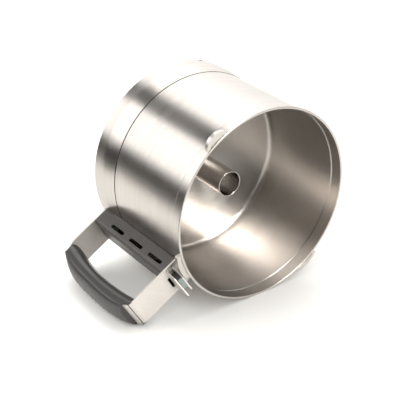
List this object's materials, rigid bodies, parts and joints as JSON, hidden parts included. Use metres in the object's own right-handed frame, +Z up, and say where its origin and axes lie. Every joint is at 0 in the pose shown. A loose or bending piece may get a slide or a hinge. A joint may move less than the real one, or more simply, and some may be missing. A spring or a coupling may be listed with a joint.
{
  "type": "food processor bowl",
  "caption": "Stainless steel food processor bowl with a drive tube, side handle, lid lugs and a spring-loaded lid interlock rod, lying on its side.",
  "frame": {"origin": "on the bowl's axis, in the plane of the skirt's open end", "axes": "+Z up; the bowl lies on its side with its axis along Y and its mouth towards -Y; the handle hangs down on the -X side"},
  "size_m": [0.2726, 0.16, 0.2151],
  "materials": {
    "bowl_steel": "satin, turned grain inside and out",
    "handle_steel": "satin",
    "grip_moulding": "soft dark grey moulding with a low sheen",
    "channel_moulding": "dark grey moulding, finely textured",
    "rod_plastic": "pale grey moulding",
    "rod_steel": "bright drawn",
    "spring_steel": "drawn wire"
  },
  "bodies": {
    "bowl": {"bowl_shell": "bowl_steel", "base_skirt": "bowl_steel", "centre_tube": "bowl_steel", "lid_lug_handle": "handle_steel", "lid_lug_upper": "handle_steel", "lid_lug_lower": "handle_steel", "handle_channel": "channel_moulding", "handle_strap": "handle_steel", "grip": "grip_moulding", "rod_guard": "handle_steel", "guide_plate": "handle_steel", "rod_spring": "spring_steel", "spring_seat": "handle_steel", "foot_bush": "rod_plastic"},
    "plunger": {"plunger_head": "channel_moulding", "head_pad": "rod_plastic", "push_rod": "rod_steel", "rod_foot": "rod_plastic"}
  },
  "joints": [
    {"name": "plunger_slide", "type": "slide", "parent": "bowl", "child": "plunger", "axis": [0, 1, 0], "range_m": [0, 0.008], "stiffness_N_per_m": 250, "springref_m": -0.02, "deforming": ["rod_spring"]}
  ]
}
